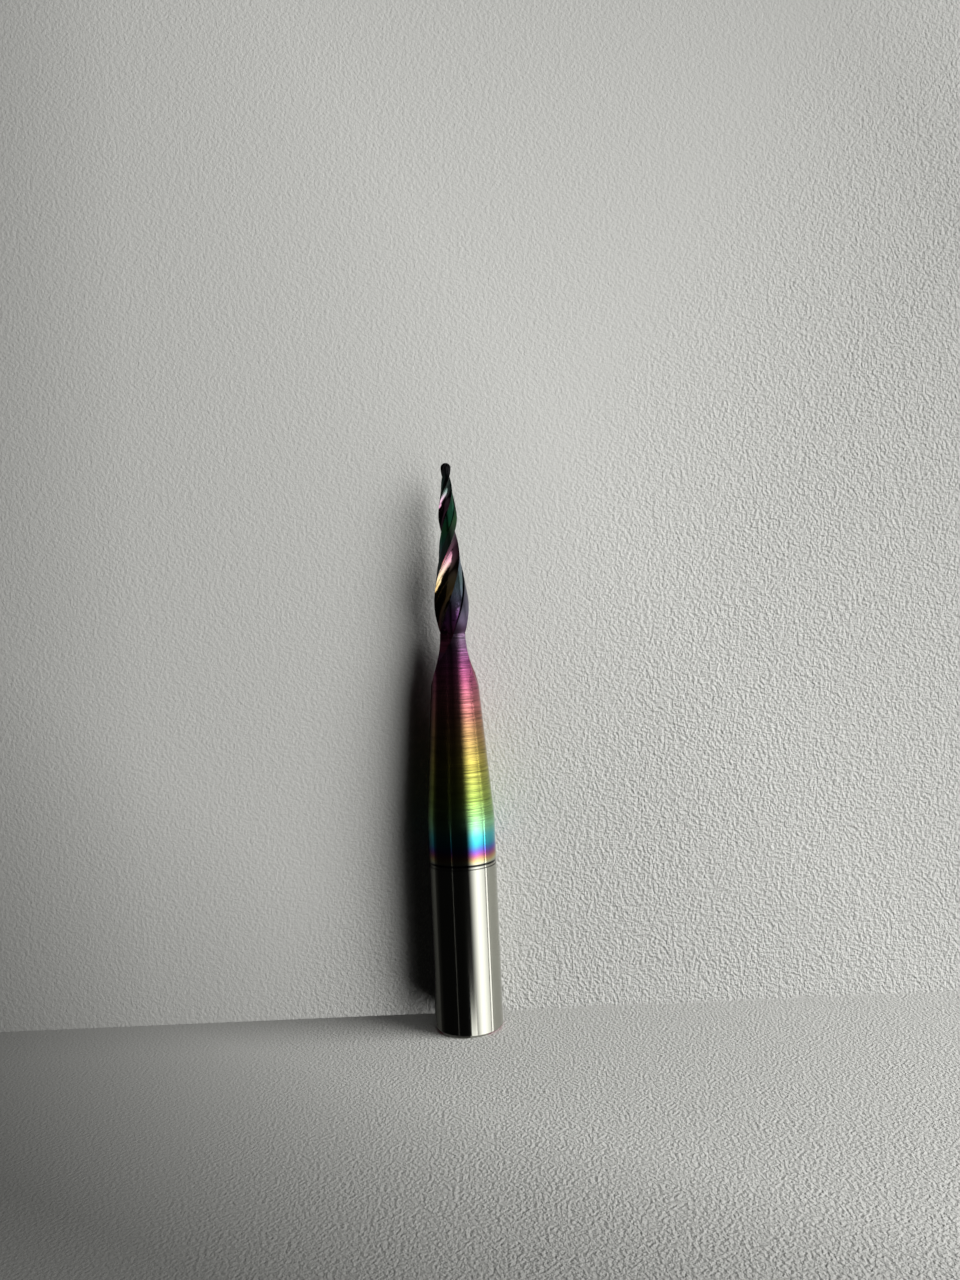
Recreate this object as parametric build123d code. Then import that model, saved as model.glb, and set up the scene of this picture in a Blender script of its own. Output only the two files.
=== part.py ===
"""Tapered ball nose end mill: one carbide bar with two helical flutes ground into its tapered end.

Sizes are in millimetres and angles in degrees. The shank's end face is at z = 0, the tool's axis is +Z,
and the ball is on top. The flutes run out towards +X and -X, and the front of the tool is -Y.
"""
from build123d import *
from math import asin, atan2, cos, degrees, exp, hypot, log, radians, sin, sqrt, tan
import os

# Bar: shank, taper and ball
overall_length = 50.0
shank_diameter = 6.0
shank_length = 18.5
end_chamfer = 0.25
taper_half_angle = 4.34
ball_radius = 0.45

# Ring turned into the shank, where the coating starts
ring_height = 14.6
ring_width = 0.3
ring_depth = 0.04

# Helix: it starts at flute_end, and from edge_taper_start the edges narrow a little faster than the bar
flute_count = 2
helix_angle = 25.0
flute_end = 34.8
edge_taper_start = 37.4

# Section of a flute, in shares of the tool's own radius
lead_angle = 50.8
flute_angle = 89.5
rake_angle = 0.0
rake_reach = 0.42
floor_reach = 0.50
heel_lean = 23.0
heel_ratio = 0.80

# Section of a land and of the clearance ground behind it
land_angle = 34.0
relief_angle = 9.0
wall_angle = 4.3
clearance_ratio = 0.815

# Run-outs, where the wheels rise out of the bar
flute_wheel_radius = 9.1
flute_run_out_rise = 1.3
clearance_wheel_radius = 4.5
clearance_run_out_rise = 0.62
clearance_end = 34.6
run_out_wall_lean = 1.4

# How far the cutters of the run-outs reach past what they cut, the first two in shares of its radius
cutter_reach = 1.8
rake_overshoot = 0.4
side_overshoot_angle = 8.0
step_overlap = 0.5

# Spacing of the sections that the helix is lofted through
twist_step = 15.0
ball_steps = 7
ball_last_angle = 80.0
run_out_steps = 6

shank_radius = shank_diameter / 2
half_turn = 360 / flute_count
ball_centre = overall_length - ball_radius

# The lower taper is the bar's own, and the upper one is the tangent from its end to the ball.
lower_slope = tan(radians(taper_half_angle))
edge_taper_radius = shank_radius - lower_slope * (edge_taper_start - shank_length)
edge_taper_height = ball_centre - edge_taper_start
edge_taper_apart = hypot(edge_taper_radius, edge_taper_height)
edge_taper = atan2(edge_taper_radius, edge_taper_height) - asin(ball_radius / edge_taper_apart)
upper_slope = tan(edge_taper)


def taper_radius(z):
    """Radius of the tapers at height z, run on straight past the ball."""
    if z < edge_taper_start:
        return shank_radius - lower_slope * (z - shank_length)
    return edge_taper_radius - upper_slope * (z - edge_taper_start)


def twist(z):
    """Turn of the section at height z, which keeps the helix angle constant on the tapers."""
    lower = log(taper_radius(flute_end) / taper_radius(min(z, edge_taper_start))) / lower_slope
    upper = log(edge_taper_radius / taper_radius(max(z, edge_taper_start))) / upper_slope
    return degrees((lower + upper) * tan(radians(helix_angle)))


def straight(z):
    """Turn of the section where a flute runs out: the helix has stopped there."""
    return 0


def polar(distance, angle):
    """Point at this distance from the axis and this angle from +X."""
    return Vector(distance * cos(radians(angle)), distance * sin(radians(angle)))


def relief_point(behind):
    """Point of the land this many degrees behind its cutting edge, on a spiral with the relief angle."""
    return polar(exp(-tan(radians(relief_angle)) * radians(behind)), half_turn - lead_angle - behind)


# Corners of one repeat of the section at unit radius, with the flute open towards +X
edge = polar(1, -lead_angle)
heel_angle = flute_angle - lead_angle
heel = polar(heel_ratio, heel_angle)
floor_end_angle = half_turn - lead_angle - land_angle - wall_angle
floor_end = polar(clearance_ratio, floor_end_angle)
land_end = relief_point(land_angle)
land_end_angle = half_turn - lead_angle - land_angle
clearance_angle = (heel_angle + floor_end_angle) / 2
clearance_middle = polar((heel_ratio + clearance_ratio) / 2, clearance_angle)
flute_inward = polar(-1, rake_angle - lead_angle)
flute_outward = polar(1, 90 - heel_lean)


def flute_floor():
    """Rake face and floor of a flute, one hollow curve from the cutting edge to the heel."""
    return Bezier(edge, edge + flute_inward * rake_reach, heel - flute_outward * floor_reach, heel)


def clearance_floor():
    """Floor of the clearance, nearly round, from the heel to the wall at the land."""
    return ThreePointArc(heel, clearance_middle, floor_end)


def tool_section():
    """Section of the fluted part at unit radius: flute, clearance, wall and land, once for each flute."""
    repeat = [
        flute_floor(),
        clearance_floor(),
        Line(floor_end, land_end),
        ThreePointArc(land_end, relief_point(land_angle / 2), relief_point(0)),
    ]
    turns = [half_turn * turn for turn in range(flute_count)]
    return make_face([line.rotate(Axis.Z, turn) for turn in turns for line in repeat])


def placed(face, z, radius, turn, lift=Vector(0, 0)):
    """Section scaled to the radius and turned, at height z, with its centre moved sideways by the lift."""
    return Location((lift.X, lift.Y, z)) * face.scale(radius).rotate(Axis.Z, turn)


def fluted_end():
    """Fluted end of the tool, from the step where the relief stops to the ball."""
    section = tool_section()
    sections = []
    z = flute_end
    while z < ball_centre - ball_radius / 4:
        sections.append(placed(section, z, taper_radius(z), twist(z)))
        z += radians(twist_step) * taper_radius(z) / tan(radians(helix_angle))
    first_rise = degrees(edge_taper)
    for step in range(ball_steps):
        rise = radians(first_rise + (ball_last_angle - first_rise) * step / (ball_steps - 1))
        z = ball_centre + ball_radius * sin(rise)
        sections.append(placed(section, z, ball_radius * cos(rise), twist(z)))
    return loft(sections)


def bar():
    """Turned bar up to the step: shank with its chamfer and ring, and the lower taper."""
    ring_bottom = ring_height - ring_width / 2
    ring_top = ring_height + ring_width / 2
    profile = Polyline(
        (0, 0),
        (shank_radius - end_chamfer, 0),
        (shank_radius, end_chamfer),
        (shank_radius, ring_bottom),
        (shank_radius - ring_depth, ring_bottom),
        (shank_radius - ring_depth, ring_top),
        (shank_radius, ring_top),
        (shank_radius, shank_length),
        (taper_radius(flute_end), flute_end),
        (0, flute_end),
        close=True,
    )
    return revolve(Plane.XZ * make_face(profile), axis=Axis.Z)


def rising_wheel(face, start, turn, wheel_radius, lift_angle, depth):
    """Sections below start of the path of a wheel that rises this deep out of the bar on its own radius."""
    length = sqrt(wheel_radius**2 - (wheel_radius - depth) ** 2)
    sections = []
    for step in range(run_out_steps, 0, -1):
        below = length * step / run_out_steps
        rise = wheel_radius - sqrt(wheel_radius**2 - below**2)
        z = start - below
        sections.append(placed(face, z, taper_radius(start), turn(z), polar(rise, lift_angle + turn(z))))
    return sections


def flute_run_out():
    """What a flute takes from the bar below the step, where it runs out straight."""
    edge_out = edge - flute_inward * rake_overshoot
    heel_out = heel + polar(cutter_reach / 2, 90 - run_out_wall_lean)
    heel_corner = (cutter_reach, heel_out.Y)
    edge_corner = (cutter_reach, edge_out.Y)
    far_side = Polyline(heel, heel_out, heel_corner, edge_corner, edge_out, edge)
    face = make_face([flute_floor(), far_side])
    sections = rising_wheel(face, flute_end, straight, flute_wheel_radius, 0, flute_run_out_rise)
    for z in (flute_end, flute_end + step_overlap):
        sections.append(placed(face, z, taper_radius(flute_end), 0))
    return loft(sections)


def clearance_run_out():
    """What a clearance takes from the bar below the step, where it follows the helix a little further."""
    flute_side = heel_angle - side_overshoot_angle
    far_side = Polyline(
        floor_end,
        land_end,
        polar(cutter_reach, land_end_angle),
        polar(cutter_reach, clearance_angle),
        polar(cutter_reach, flute_side),
        polar(heel_ratio, flute_side),
        heel,
    )
    face = make_face([clearance_floor(), far_side])
    rise = clearance_run_out_rise
    sections = rising_wheel(face, clearance_end, twist, clearance_wheel_radius, clearance_angle, rise)
    for z in (clearance_end, flute_end, flute_end + step_overlap):
        sections.append(placed(face, z, taper_radius(z), twist(z)))
    return loft(sections)


run_outs = [
    cutter.rotate(Axis.Z, half_turn * turn)
    for turn in range(flute_count)
    for cutter in (flute_run_out(), clearance_run_out())
]
end_mill = bar()
for run_out in run_outs:
    end_mill = end_mill - run_out
end_mill = end_mill + fluted_end()

os.makedirs("parts", exist_ok=True)
export_step(end_mill, "parts/end_mill.step")
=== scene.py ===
"""Looks of the tapered ball nose end mill: the ground carbide bar under its coating in rainbow colours.

Places are in metres, as in the frame, unless a name ends in _mm. The tool stands on its shank's end with
its axis on +Z, and the camera stands in front of it, on the -Y side.
"""
import math

import bmesh
import bpy
from mathutils import Euler, Matrix, Vector


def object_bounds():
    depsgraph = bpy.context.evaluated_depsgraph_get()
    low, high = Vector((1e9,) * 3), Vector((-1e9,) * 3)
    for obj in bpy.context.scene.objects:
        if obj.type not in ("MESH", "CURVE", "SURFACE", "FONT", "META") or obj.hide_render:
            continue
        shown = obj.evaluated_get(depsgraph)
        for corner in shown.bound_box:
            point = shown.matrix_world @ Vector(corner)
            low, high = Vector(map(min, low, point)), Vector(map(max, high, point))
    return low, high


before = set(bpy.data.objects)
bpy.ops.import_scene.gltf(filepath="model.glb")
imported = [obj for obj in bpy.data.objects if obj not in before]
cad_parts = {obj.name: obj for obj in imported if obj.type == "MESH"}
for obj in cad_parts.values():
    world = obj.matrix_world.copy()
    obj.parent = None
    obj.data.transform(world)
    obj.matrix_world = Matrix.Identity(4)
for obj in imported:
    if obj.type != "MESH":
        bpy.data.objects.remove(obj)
cad_low, cad_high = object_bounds()

# Camera: it looks level at the standing tool from close by through a wide lens, so the shank looks thicker
# than it would from far away. It is rolled a little, because the tool leans to the left in the picture.
MM = 0.001
tool_length = cad_high.z - cad_low.z
camera_distance = 85.3 * MM
camera_right = 2.4 * MM
camera_height = 34.15 * MM
camera_lens_mm = 27.0
camera_roll = math.radians(2.49)

camera_data = bpy.data.cameras.new("camera")
camera_data.lens = camera_lens_mm
camera_data.sensor_width = 36.0
camera_data.clip_start = 1 * MM
camera_data.clip_end = 5.0
camera = bpy.data.objects.new("camera", camera_data)
camera.location = (camera_right, -camera_distance, camera_height)
level = Euler((math.radians(90), 0, 0)).to_matrix()
camera.rotation_euler = (level @ Matrix.Rotation(-camera_roll, 3, "Z")).to_euler()
bpy.context.scene.collection.objects.link(camera)
bpy.context.scene.camera = camera


# Floor and backdrop: one pale grained card lies flat under the tool and another stands upright just behind
# it, so that the tool's shadow falls on it to the left. The cards throw no light on each other, or the shadow
# would be too pale.
card_half_width = 300 * MM
floor_front = -250 * MM
floor_back = 600 * MM
backdrop_back = 3.1 * MM
backdrop_height = 500 * MM


def linear_colour(text):
    """Colour of an sRGB hex value as linear RGBA."""
    shares = [int(text[i:i + 2], 16) / 255 for i in (1, 3, 5)]
    return [s / 12.92 if s < 0.04045 else ((s + 0.055) / 1.055) ** 2.4 for s in shares] + [1.0]


def add_node(tree, kind, inputs=None, **settings):
    """Adds a node, gives it its settings, and sets or links its inputs."""
    node = tree.nodes.new(kind)
    for name, value in settings.items():
        setattr(node, name, value)
    for name, value in (inputs or {}).items():
        if isinstance(value, bpy.types.NodeSocket):
            tree.links.new(value, node.inputs[name])
        else:
            node.inputs[name].default_value = value
    return node


def new_material(name):
    """Empty material and its node tree."""
    material = bpy.data.materials.new(name)
    material.use_nodes = True
    material.node_tree.nodes.clear()
    return material, material.node_tree


def shade_across(tree, place, weights, from_mm, to_mm, first, last):
    """Value that goes evenly from first to last between two sums of x, y and z with these weights."""
    along = add_node(tree, "ShaderNodeVectorMath", {
        0: place.outputs["Object"], 1: weights}, operation="DOT_PRODUCT")
    return add_node(tree, "ShaderNodeMapRange", {
        "Value": along.outputs["Value"], "From Min": from_mm * MM, "From Max": to_mm * MM,
        "To Min": first, "To Max": last})


def grained_card():
    """Card embossed with small pebbles: pale and matt, with a fine sparkle where light grazes it."""
    material, tree = new_material("grained_card")
    place = add_node(tree, "ShaderNodeTexCoord")
    axes = add_node(tree, "ShaderNodeSeparateXYZ", {"Vector": place.outputs["Object"]})

    # The pebbles are a quarter of a millimetre wide, and flatter on the left and high up.
    pebble_mm = 0.25
    pebble_depth_mm = 0.29
    grain = add_node(tree, "ShaderNodeTexNoise", {
        "Vector": place.outputs["Object"], "Scale": 1 / (pebble_mm * MM), "Detail": 2.0, "Roughness": 0.5})
    depth = shade_across(tree, place, (1, 0, -0.6), from_mm=-20, to_mm=5, first=0.25, last=1.0)
    height = add_node(tree, "ShaderNodeMath", {
        0: grain.outputs["Fac"], 1: depth.outputs["Result"]}, operation="MULTIPLY")
    relief = add_node(tree, "ShaderNodeBump", {
        "Height": height.outputs["Value"], "Strength": 1.0, "Distance": pebble_depth_mm * MM})

    # The card's colour is painted darker towards the lower left, the front on the left, and the upper right:
    # painted shade where the light falls off. Further forwards, where the camera doesn't look, it is pale
    # again.
    painted_shading = shade_across(tree, place, (1, 0, 1.2), from_mm=-45, to_mm=0, first=0.6, last=1.0)
    near_front = shade_across(tree, place, (1.25, 2, 0), from_mm=-86, to_mm=-30, first=0.37, last=1.0)
    far_front = shade_across(tree, place, (1.25, 2, 0), from_mm=-260, to_mm=-90, first=1.0, last=0.4)
    front_painted_shade = add_node(tree, "ShaderNodeMath", {
        0: near_front.outputs["Result"], 1: far_front.outputs["Result"]}, operation="MAXIMUM")
    upper_painted_shade = shade_across(tree, place, (1, 0, 0.6), from_mm=42, to_mm=92, first=1.0, last=0.63)
    for more in (front_painted_shade, upper_painted_shade):
        painted_shading = add_node(tree, "ShaderNodeMath", {
            0: painted_shading.outputs[0], 1: more.outputs[0]}, operation="MULTIPLY")
    # The card's own pale colour times the painted shade.
    colour = add_node(tree, "ShaderNodeVectorMath", {
        0: linear_colour("#E4E4DF")[:3], "Scale": painted_shading.outputs["Value"]}, operation="SCALE")
    card = add_node(tree, "ShaderNodeBsdfPrincipled", {
        "Base Color": colour.outputs["Vector"], "Roughness": 0.6, "Normal": relief.outputs["Normal"]})

    # The metal mirrors something dark on its left and high up, so it sees little of the card there. From
    # behind, the card is clear.
    ray = add_node(tree, "ShaderNodeLightPath")
    further_left = shade_across(tree, place, (1, 0, 0), from_mm=-20, to_mm=-14, first=0.97, last=0.84)
    on_left = add_node(tree, "ShaderNodeMath", {0: axes.outputs["X"], 1: 0.0}, operation="LESS_THAN")
    left_dimmed = add_node(tree, "ShaderNodeMath", {
        0: on_left.outputs["Value"], 1: further_left.outputs["Result"]}, operation="MULTIPLY")
    high_dimmed = shade_across(tree, place, (0, 0, 1), from_mm=36, to_mm=50, first=0.0, last=0.8)
    dimmed = add_node(tree, "ShaderNodeMath", {
        0: left_dimmed.outputs["Value"], 1: high_dimmed.outputs["Result"]}, operation="MAXIMUM")
    in_metal = add_node(tree, "ShaderNodeMath", {
        0: ray.outputs["Is Glossy Ray"], 1: dimmed.outputs["Value"]}, operation="MULTIPLY")
    side = add_node(tree, "ShaderNodeNewGeometry")
    unseen = add_node(tree, "ShaderNodeMath", {
        0: side.outputs["Backfacing"], 1: in_metal.outputs["Value"]}, operation="MAXIMUM")
    clear = add_node(tree, "ShaderNodeBsdfTransparent")
    sheet = add_node(tree, "ShaderNodeMixShader", {
        0: unseen.outputs["Value"], 1: card.outputs["BSDF"], 2: clear.outputs["BSDF"]})
    add_node(tree, "ShaderNodeOutputMaterial", {"Surface": sheet.outputs["Shader"]})
    return material


def add_card(name, outline, material):
    """Sheet whose side view is this outline of (y, z) points, facing up and forwards."""
    mesh = bpy.data.meshes.new(name)
    card = bmesh.new()
    left = [card.verts.new((-card_half_width, y, z)) for y, z in outline]
    edges = [card.edges.new(pair) for pair in zip(left, left[1:])]
    swept = bmesh.ops.extrude_edge_only(card, edges=edges)["geom"]
    right = [v for v in swept if isinstance(v, bmesh.types.BMVert)]
    bmesh.ops.translate(card, verts=right, vec=(2 * card_half_width, 0, 0))
    for face in card.faces:
        face.normal_update()
        face.smooth = True
        if face.normal.z < face.normal.y:
            face.normal_flip()
    card.to_mesh(mesh)
    card.free()
    mesh.materials.append(material)
    sheet = bpy.data.objects.new(name, mesh)
    bpy.context.scene.collection.objects.link(sheet)
    return sheet


card_material = grained_card()
floor = add_card("floor", [(floor_front, 0), (floor_back, 0)], card_material)
floor.visible_glossy = False
floor.visible_shadow = False
floor.visible_diffuse = False
backdrop_outline = [(backdrop_back, -backdrop_height), (backdrop_back, backdrop_height)]
backdrop = add_card("backdrop", backdrop_outline, card_material)
backdrop.visible_diffuse = False


# Light: a tall softbox to the right of the camera, a panel low beside it, and a thin strip light on each side
# of the tool. Nothing bright stands in front of the tool on the left, which gives the metal its black parts.
light_distance = 400 * MM
light_level = camera_height


def add_lamp(name, right, width, low, high, radiance):
    """Upright area light that faces the tool, placed and sized by angles seen from it, in degrees."""
    light = bpy.data.lights.new(name, "AREA")
    light.shape = "RECTANGLE"
    light.size = 2 * light_distance * math.tan(math.radians(width) / 2)
    bottom = light_distance * math.tan(math.radians(low))
    top = light_distance * math.tan(math.radians(high))
    light.size_y = top - bottom
    light.energy = math.pi * radiance * light.size * light.size_y
    lamp = bpy.data.objects.new(name, light)
    away = Vector((math.sin(math.radians(right)), -math.cos(math.radians(right)), 0))
    lamp.location = away * light_distance + Vector((0, 0, light_level + (bottom + top) / 2))
    lamp.rotation_euler = away.to_track_quat("Z", "Y").to_euler()
    lamp.visible_camera = False
    bpy.context.scene.collection.objects.link(lamp)
    return lamp


def soften(light, left, right, right_level, top):
    """Lets a lamp fade towards its left, right and upper edge, over these shares of its size."""
    light.use_nodes = True
    tree = light.node_tree
    tree.nodes.clear()
    spot = add_node(tree, "ShaderNodeNewGeometry")
    across = add_node(tree, "ShaderNodeSeparateXYZ", {"Vector": spot.outputs["Parametric"]})
    from_left = add_node(tree, "ShaderNodeMapRange", {
        "Value": across.outputs["X"], "From Max": left}, interpolation_type="SMOOTHSTEP")
    from_right = add_node(tree, "ShaderNodeMapRange", {
        "Value": across.outputs["X"], "From Min": 1.0, "From Max": 1.0 - right, "To Min": right_level})
    from_top = add_node(tree, "ShaderNodeMapRange", {
        "Value": across.outputs["Y"], "From Min": 1.0, "From Max": 1.0 - top,
    }, interpolation_type="SMOOTHSTEP")
    sides = add_node(tree, "ShaderNodeMath", {
        0: from_left.outputs["Result"], 1: from_right.outputs["Result"]}, operation="MULTIPLY")
    glow = add_node(tree, "ShaderNodeMath", {
        0: sides.outputs["Value"], 1: from_top.outputs["Result"]}, operation="MULTIPLY")
    lit = add_node(tree, "ShaderNodeEmission", {"Strength": glow.outputs["Value"]})
    add_node(tree, "ShaderNodeOutputLight", {"Surface": lit.outputs["Emission"]})


def light_alone(lamp, lit):
    """Lets a lamp light this object and nothing else."""
    lit_alone = bpy.data.collections.new(lamp.name + "_alone")
    lit_alone.objects.link(lit)
    lamp.light_linking.receiver_collection = lit_alone


end_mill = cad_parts["end_mill"]
softbox = add_lamp("softbox", right=49, width=62, low=-45, high=10.5, radiance=2.4)
soften(softbox.data, left=0.57, right=0.45, right_level=0.5, top=0.06)
low_panel = add_lamp("low_panel", right=17, width=20, low=-45, high=-24, radiance=2.2)
soften(low_panel.data, left=0.1, right=0.05, right_level=1.0, top=0.12)
right_strip = add_lamp("right_strip", right=86, width=6, low=-45, high=3, radiance=2.4)
left_strip = add_lamp("left_strip", right=-35, width=1, low=-45, high=6, radiance=0.15)

# Above the softbox a dim room shows in the metal, a little brighter on the right.
right_glow = add_lamp("upper_right_glow", right=55, width=130, low=10.5, high=45, radiance=0.09)
soften(right_glow.data, left=0.39, right=0.1, right_level=1.0, top=0.8)
left_glow = add_lamp("upper_left_glow", right=-60, width=98, low=9, high=45, radiance=0.035)
soften(left_glow.data, left=0.1, right=0.3, right_level=0.1, top=0.5)
for lamp in (low_panel, right_strip, left_strip, right_glow, left_glow):
    light_alone(lamp, end_mill)


def add_card_lamp(name, sheet, right, up, distance, energy, size=150 * MM):
    """Round lamp that lights one card alone, with its place seen from the tool given by angles in degrees."""
    light = bpy.data.lights.new(name, "AREA")
    light.shape = "DISK"
    light.size = size
    light.energy = energy
    lamp = bpy.data.objects.new(name, light)
    right, up = math.radians(right), math.radians(up)
    away = Vector((math.sin(right) * math.cos(up), -math.cos(right) * math.cos(up), math.sin(up)))
    lamp.location = away * distance
    lamp.rotation_euler = away.to_track_quat("Z", "Y").to_euler()
    lamp.visible_camera = False
    lamp.visible_glossy = False
    bpy.context.scene.collection.objects.link(lamp)
    light_alone(lamp, sheet)


# Each card has a lamp of its own, so that both are equally pale and the line between them hardly shows. A
# large one high up lights the far parts of the floor.
add_card_lamp("backdrop_lamp", backdrop, right=50, up=30, distance=230 * MM, energy=0.395)
add_card_lamp("floor_lamp", floor, right=70, up=35, distance=230 * MM, energy=0.465)
add_card_lamp("far_floor_lamp", floor, right=45, up=80, distance=700 * MM, energy=0.7, size=500 * MM)

# Beyond the cards the camera sees an even pale grey, and the tool gets hardly any light from there.
sky = bpy.data.worlds.new("sky")
sky.use_nodes = True
sky.node_tree.nodes.clear()
bpy.context.scene.world = sky
bpy.context.scene.view_settings.view_transform = "Standard"
ray = add_node(sky.node_tree, "ShaderNodeLightPath")
dim = add_node(sky.node_tree, "ShaderNodeBackground", {"Color": linear_colour("#FFFFFF"), "Strength": 0.003})
even = add_node(sky.node_tree, "ShaderNodeBackground", {"Color": linear_colour("#C8C8C4"), "Strength": 1.0})
seen = add_node(sky.node_tree, "ShaderNodeMixShader", {
    0: ray.outputs["Is Camera Ray"], 1: dim.outputs["Background"], 2: even.outputs["Background"]})
add_node(sky.node_tree, "ShaderNodeOutputWorld", {"Surface": seen.outputs["Shader"]})


# End mill: one bar of fine-grained tungsten carbide, ground all over. Its shank is bare, and from the ring up
# it carries a hard coat a few thousandths of a millimetre thick, whose colour follows its thickness.
shank_radius_mm = cad_high.x / MM
ring_height_mm = 14.6
taper_start_mm = 18.5
taper_half_angle = math.radians(4.34)
flute_end_mm = 34.8
edge_taper_start_mm = 37.4
ball_radius_mm = 0.45
ball_centre_mm = tool_length / MM - ball_radius_mm
helix_angle = math.radians(25)
lead_angle = math.radians(50.8)
flute_angle = math.radians(89.5)
edge_margin = math.radians(4)

# A surface nearer the axis than these shares of the taper's radius belongs to a flute, or to a clearance.
flute_reach = 0.985
clearance_reach = 0.88

lower_slope = math.tan(taper_half_angle)
step_radius_mm = shank_radius_mm - lower_slope * (flute_end_mm - taper_start_mm)
bend_radius_mm = shank_radius_mm - lower_slope * (edge_taper_start_mm - taper_start_mm)
bend_height_mm = ball_centre_mm - edge_taper_start_mm
upper_taper = math.atan2(bend_radius_mm, bend_height_mm) - math.asin(
    ball_radius_mm / math.hypot(bend_radius_mm, bend_height_mm))
upper_slope = math.tan(upper_taper)
tip_radius_mm = bend_radius_mm - upper_slope * (tool_length / MM - edge_taper_start_mm)

# Colours of the coat by height above the shank's end, in millimetres: on the outside, in the clearances
# behind the lands, and in the flutes.
outside_colours = [
    (14.85, "#BBBBB0"), (15.05, "#D7CFA4"), (15.3, "#D4AB74"), (15.53, "#BA747E"), (15.74, "#A45B9B"),
    (15.94, "#7E5BBF"), (16.13, "#5D70CB"), (16.5, "#3CABC7"), (17.2, "#57C9CF"), (18.0, "#95DAAD"),
    (19.1, "#9BCA80"), (20.4, "#A2BA5D"), (23.5, "#BAAD57"), (26.7, "#B68864"), (28.2, "#C67D79"),
    (31.0, "#B65F85"), (32.3, "#995482"), (33.5, "#875F83"), (34.5, "#856E87"), (35.2, "#745774"),
    (35.8, "#B09BC1"), (36.9, "#8D899F"), (37.9, "#7E7A8E"), (40.5, "#747F7F"), (42.5, "#687E76"),
    (44.0, "#749376"), (44.9, "#6EA470"), (45.8, "#4F765D"), (46.7, "#688372"), (48.0, "#343E3B"),
    (48.6, "#303634"), (49.2, "#6C6C70"),
]
clearance_colours = [
    (33.0, "#9F4D67"), (34.6, "#A55379"), (36.0, "#874D90"), (36.9, "#795B82"), (37.8, "#8D8DAB"),
    (38.7, "#93A8B9"), (39.6, "#7F9C9F"), (40.5, "#879CAB"), (41.4, "#878DA8"), (43.2, "#509F82"),
    (44.0, "#59AB6A"), (44.9, "#47AE7F"), (45.8, "#53B387"), (46.7, "#5E9679"), (47.6, "#79A899"),
    (48.5, "#6D8782"), (49.1, "#646467"),
]
flute_colours = [
    (31.0, "#A04258"), (34.0, "#803852"), (36.0, "#684642"), (37.6, "#765C3A"), (38.6, "#B0925C"),
    (39.4, "#C4AE82"), (40.3, "#C6AC98"), (41.2, "#BE8F9B"), (42.0, "#A06A84"), (43.2, "#644C5C"),
    (44.8, "#604056"), (46.0, "#A06C8A"), (46.7, "#C09EB2"), (47.4, "#768A84"), (48.3, "#4C605C"),
    (49.1, "#545458"),
]


def spread_colours(ramp, colours):
    """Puts these colours at their heights on a ramp that runs over the tool's length."""
    while len(ramp.color_ramp.elements) < len(colours):
        ramp.color_ramp.elements.new(1.0)
    for element, (height_mm, colour) in zip(ramp.color_ramp.elements, colours):
        element.position = height_mm * MM / tool_length
        element.color = linear_colour(colour)


def turn_on_helix(tree, axes):
    """Turn round the axis from just behind the cutting edge to a point, from 0 to half a turn."""
    lower = add_node(tree, "ShaderNodeMapRange", {
        "Value": axes.outputs["Z"], "From Min": flute_end_mm, "From Max": edge_taper_start_mm,
        "To Min": 1.0, "To Max": bend_radius_mm / step_radius_mm})
    upper = add_node(tree, "ShaderNodeMapRange", {
        "Value": axes.outputs["Z"], "From Min": edge_taper_start_mm, "From Max": tool_length / MM,
        "To Min": 1.0, "To Max": tip_radius_mm / bend_radius_mm})
    lower_power = add_node(tree, "ShaderNodeMath", {
        0: lower.outputs["Result"], 1: math.tan(helix_angle) / lower_slope}, operation="POWER")
    upper_power = add_node(tree, "ShaderNodeMath", {
        0: upper.outputs["Result"], 1: math.tan(helix_angle) / upper_slope}, operation="POWER")
    narrowing = add_node(tree, "ShaderNodeMath", {
        0: lower_power.outputs["Value"], 1: upper_power.outputs["Value"]}, operation="MULTIPLY")
    twist = add_node(tree, "ShaderNodeMath", {
        0: narrowing.outputs["Value"], 1: math.e}, operation="LOGARITHM")
    around = add_node(tree, "ShaderNodeMath", {
        0: axes.outputs["Y"], 1: axes.outputs["X"]}, operation="ARCTAN2")
    unwound = add_node(tree, "ShaderNodeMath", {
        0: around.outputs["Value"], 1: twist.outputs["Value"]}, operation="ADD")
    from_edge = add_node(tree, "ShaderNodeMath", {
        0: unwound.outputs["Value"], 1: lead_angle + edge_margin}, operation="ADD")
    return add_node(tree, "ShaderNodeMath", {
        0: from_edge.outputs["Value"], 1: math.pi}, operation="FLOORED_MODULO")


def share_of_radius(tree, place_mm, axes):
    """Distance from the axis as a share of the taper's own radius at that height."""
    flat = add_node(tree, "ShaderNodeVectorMath", {
        0: place_mm.outputs["Vector"], 1: (1, 1, 0)}, operation="MULTIPLY")
    distance = add_node(tree, "ShaderNodeVectorMath", {0: flat.outputs["Vector"]}, operation="LENGTH")
    lower = add_node(tree, "ShaderNodeMapRange", {
        "Value": axes.outputs["Z"], "From Min": taper_start_mm, "From Max": edge_taper_start_mm,
        "To Min": shank_radius_mm, "To Max": bend_radius_mm})
    narrower = add_node(tree, "ShaderNodeMapRange", {
        "Value": axes.outputs["Z"], "From Min": edge_taper_start_mm, "From Max": tool_length / MM,
        "To Min": 1.0, "To Max": tip_radius_mm / bend_radius_mm})
    taper = add_node(tree, "ShaderNodeMath", {
        0: lower.outputs["Result"], 1: narrower.outputs["Result"]}, operation="MULTIPLY")
    return add_node(tree, "ShaderNodeMath", {
        0: distance.outputs["Value"], 1: taper.outputs["Value"]}, operation="DIVIDE")


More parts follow.
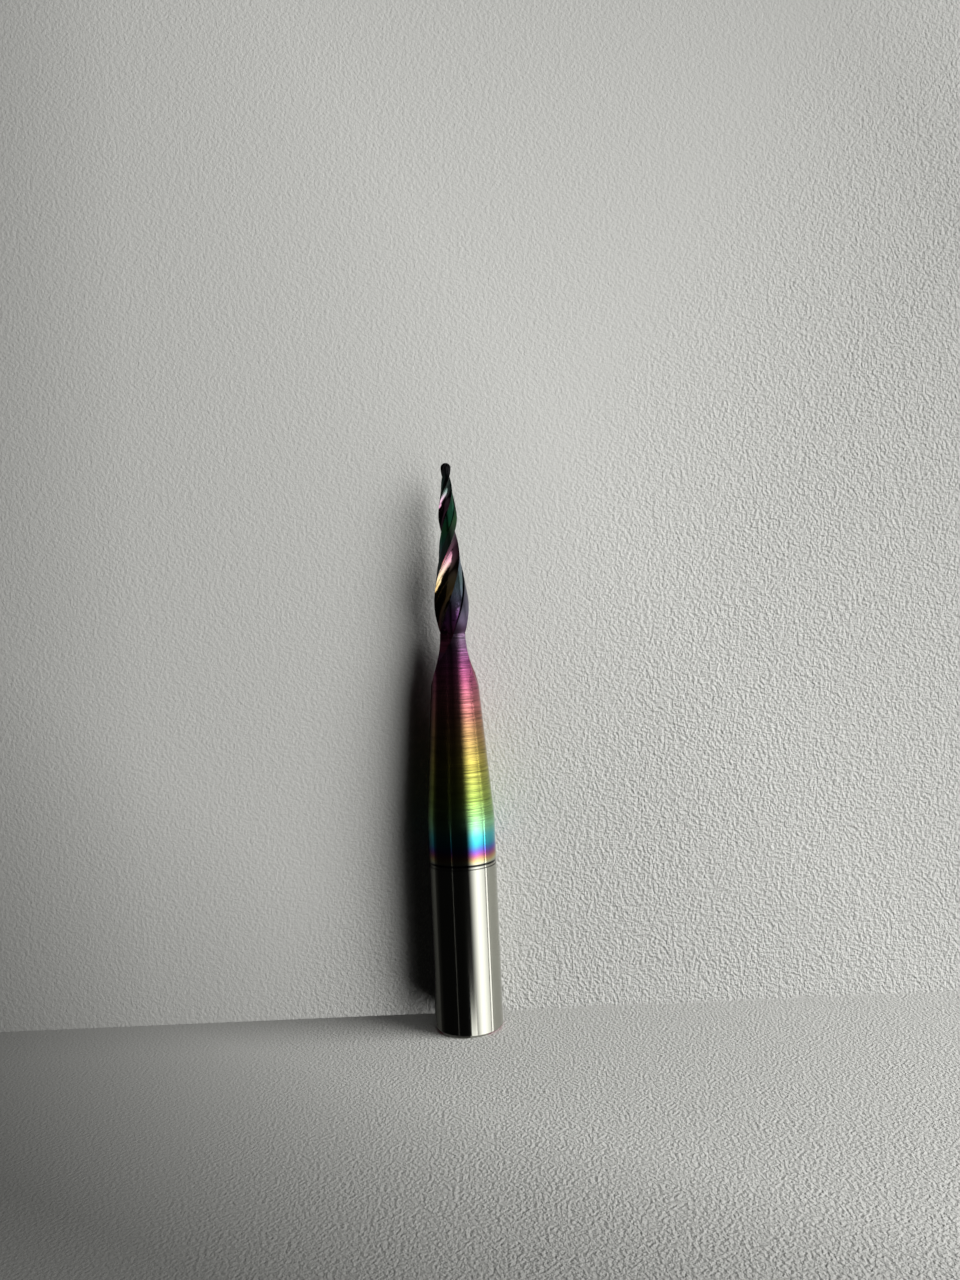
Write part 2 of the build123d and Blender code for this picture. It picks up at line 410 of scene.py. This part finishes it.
def coated_carbide():
    """Ground tungsten carbide, bright and a little warm, under a coat that shows interference colours."""
    material, tree = new_material("coated_carbide")
    place = add_node(tree, "ShaderNodeTexCoord")
    place_mm = add_node(tree, "ShaderNodeMapping", {
        "Vector": place.outputs["Object"], "Scale": (1 / MM, 1 / MM, 1 / MM)})
    axes = add_node(tree, "ShaderNodeSeparateXYZ", {"Vector": place_mm.outputs["Vector"]})
    turn = turn_on_helix(tree, axes)
    reach = share_of_radius(tree, place_mm, axes)

    # A point is in a flute if it lies between its cutting edge and its heel, and deeper than the land.
    ahead = add_node(tree, "ShaderNodeMath", {
        0: turn.outputs["Value"], 1: flute_angle + edge_margin}, operation="LESS_THAN")
    hollow = add_node(tree, "ShaderNodeMath", {
        0: reach.outputs["Value"], 1: flute_reach}, operation="LESS_THAN")
    above_step = add_node(tree, "ShaderNodeMath", {
        0: axes.outputs["Z"], 1: flute_end_mm}, operation="GREATER_THAN")
    fluted = add_node(tree, "ShaderNodeMath", {
        0: ahead.outputs["Value"], 1: hollow.outputs["Value"]}, operation="MULTIPLY")

    # The stone leaves rings on the taper and lines along the flutes. The finest of them are too fine for the
    # picture, so they are drawn a tenth of a millimetre or a little more apart.
    ring_apart_mm = 0.13
    ring_relief_mm = 0.012
    lines_per_radian = 16.0
    line_relief_mm = 0.001
    ring_place = add_node(tree, "ShaderNodeMapping", {
        "Vector": place_mm.outputs["Vector"], "Scale": (0.3, 0.3, 1 / ring_apart_mm)})
    rings = add_node(tree, "ShaderNodeTexNoise", {
        "Vector": ring_place.outputs["Vector"], "Scale": 1.0, "Detail": 3.0, "Roughness": 0.7})
    line_place = add_node(tree, "ShaderNodeCombineXYZ", {
        "X": turn.outputs["Value"], "Y": axes.outputs["Z"]})
    line_spread = add_node(tree, "ShaderNodeMapping", {
        "Vector": line_place.outputs["Vector"], "Scale": (lines_per_radian, 0.25, 1.0)})
    lines = add_node(tree, "ShaderNodeTexNoise", {
        "Vector": line_spread.outputs["Vector"], "Scale": 1.0, "Detail": 2.0, "Roughness": 0.5})
    on_taper = add_node(tree, "ShaderNodeMapRange", {
        "Value": axes.outputs["Z"], "From Min": taper_start_mm - 1.0, "From Max": taper_start_mm + 0.5})
    ground = add_node(tree, "ShaderNodeMath", {
        0: above_step.outputs["Value"], 1: fluted.outputs["Value"]}, operation="MAXIMUM")
    turned = add_node(tree, "ShaderNodeMath", {
        0: on_taper.outputs["Result"], 1: ground.outputs["Value"]}, operation="SUBTRACT", use_clamp=True)
    ring_height = add_node(tree, "ShaderNodeMath", {
        0: rings.outputs["Fac"], 1: turned.outputs["Value"]}, operation="MULTIPLY")
    line_height = add_node(tree, "ShaderNodeMath", {
        0: lines.outputs["Fac"], 1: ground.outputs["Value"]}, operation="MULTIPLY")
    ring_relief = add_node(tree, "ShaderNodeBump", {
        "Height": ring_height.outputs["Value"], "Strength": 1.0, "Distance": ring_relief_mm * MM})
    relief = add_node(tree, "ShaderNodeBump", {
        "Height": line_height.outputs["Value"], "Strength": 1.0, "Distance": line_relief_mm * MM,
        "Normal": ring_relief.outputs["Normal"]})

    # The two corners of the turned ring are painted dark, as painted shade at the groove's steps, the upper
    # one more.
    ring_top_mm = ring_height_mm + 0.14
    ring_bottom_mm = ring_height_mm - 0.16
    from_top_corner = add_node(tree, "ShaderNodeMath", {
        0: axes.outputs["Z"], 1: ring_top_mm}, operation="SUBTRACT")
    from_low_corner = add_node(tree, "ShaderNodeMath", {
        0: axes.outputs["Z"], 1: ring_bottom_mm}, operation="SUBTRACT")
    top_apart = add_node(tree, "ShaderNodeMath", {0: from_top_corner.outputs["Value"]}, operation="ABSOLUTE")
    low_apart = add_node(tree, "ShaderNodeMath", {0: from_low_corner.outputs["Value"]}, operation="ABSOLUTE")
    top_corner = add_node(tree, "ShaderNodeMapRange", {
        "Value": top_apart.outputs["Value"], "From Min": 0.06, "From Max": 0.14, "To Min": 0.04})
    low_corner = add_node(tree, "ShaderNodeMapRange", {
        "Value": low_apart.outputs["Value"], "From Min": 0.02, "From Max": 0.08, "To Min": 0.35})
    painted_corner_shade = add_node(tree, "ShaderNodeMath", {
        0: top_corner.outputs["Result"], 1: low_corner.outputs["Result"]}, operation="MULTIPLY")

    # The rings are also painted into the colour as lighter and darker bands, and not shown by their relief
    # alone: painted glints on their crests and painted shade in their grooves.
    painted_ring_bands = add_node(tree, "ShaderNodeMapRange", {
        "Value": rings.outputs["Fac"], "From Min": 0.3, "From Max": 0.7, "To Min": 0.4, "To Max": 1.45})
    painted_ring_light = add_node(tree, "ShaderNodeMix", {
        "Factor": turned.outputs["Value"], "A": 1.0, "B": painted_ring_bands.outputs["Result"]})
    # The painted ring light and the painted corner shade together.
    painted_shading = add_node(tree, "ShaderNodeMath", {
        0: painted_ring_light.outputs["Result"], 1: painted_corner_shade.outputs["Value"]}, operation="MULTIPLY")

    # The coat is a little uneven, so its colours come up to a quarter of a millimetre higher or lower.
    unevenness = add_node(tree, "ShaderNodeTexNoise", {
        "Vector": place_mm.outputs["Vector"], "Scale": 0.5, "Detail": 2.0})
    thickness = add_node(tree, "ShaderNodeMapRange", {
        "Value": unevenness.outputs["Fac"], "To Min": -0.25, "To Max": 0.25})
    coat_height = add_node(tree, "ShaderNodeMath", {
        0: axes.outputs["Z"], 1: thickness.outputs["Result"]}, operation="ADD")
    along = add_node(tree, "ShaderNodeMath", {
        0: coat_height.outputs["Value"], 1: tool_length / MM}, operation="DIVIDE")
    outside = add_node(tree, "ShaderNodeValToRGB", {"Fac": along.outputs["Value"]})
    spread_colours(outside, outside_colours)
    clearance = add_node(tree, "ShaderNodeValToRGB", {"Fac": along.outputs["Value"]})
    spread_colours(clearance, clearance_colours)
    flute = add_node(tree, "ShaderNodeValToRGB", {"Fac": along.outputs["Value"]})
    spread_colours(flute, flute_colours)

    # Inputs 6 and 7 of a Mix node are its two colours, and output 2 is the mixed one.
    behind_land = add_node(tree, "ShaderNodeMath", {
        0: reach.outputs["Value"], 1: clearance_reach}, operation="LESS_THAN")
    outer_coat = add_node(tree, "ShaderNodeMix", {
        0: behind_land.outputs["Value"], 6: outside.outputs["Color"], 7: clearance.outputs["Color"],
    }, data_type="RGBA")
    coat = add_node(tree, "ShaderNodeMix", {
        0: fluted.outputs["Value"], 6: outer_coat.outputs[2], 7: flute.outputs["Color"]}, data_type="RGBA")
    # The coat's colour scaled by the painted ring light and the painted corner shade.
    coat_with_painted_shading = add_node(tree, "ShaderNodeVectorMath", {
        0: coat.outputs[2], "Scale": painted_shading.outputs["Value"]}, operation="SCALE")

    # The shank and the flutes are polished, the taper is a little duller, and the lands are the dullest.
    polished = 0.1
    ring_ground = 0.19
    land_duller = 0.18
    polish = add_node(tree, "ShaderNodeMapRange", {
        "Value": turned.outputs["Value"], "To Min": polished, "To Max": ring_ground})
    off_land = add_node(tree, "ShaderNodeMath", {
        0: fluted.outputs["Value"], 1: behind_land.outputs["Value"]}, operation="MAXIMUM")
    land = add_node(tree, "ShaderNodeMath", {
        0: above_step.outputs["Value"], 1: off_land.outputs["Value"]}, operation="SUBTRACT", use_clamp=True)
    roughness = add_node(tree, "ShaderNodeMath", {
        0: land.outputs["Value"], 1: land_duller, 2: polish.outputs["Result"]}, operation="MULTIPLY_ADD")
    metal = add_node(tree, "ShaderNodeBsdfPrincipled", {
        "Base Color": coat_with_painted_shading.outputs["Vector"], "Metallic": 1.0, "Roughness": roughness.outputs["Value"],
        "Normal": relief.outputs["Normal"]})
    add_node(tree, "ShaderNodeOutputMaterial", {"Surface": metal.outputs["BSDF"]})
    return material


end_mill.data.materials.clear()
end_mill.data.materials.append(coated_carbide())
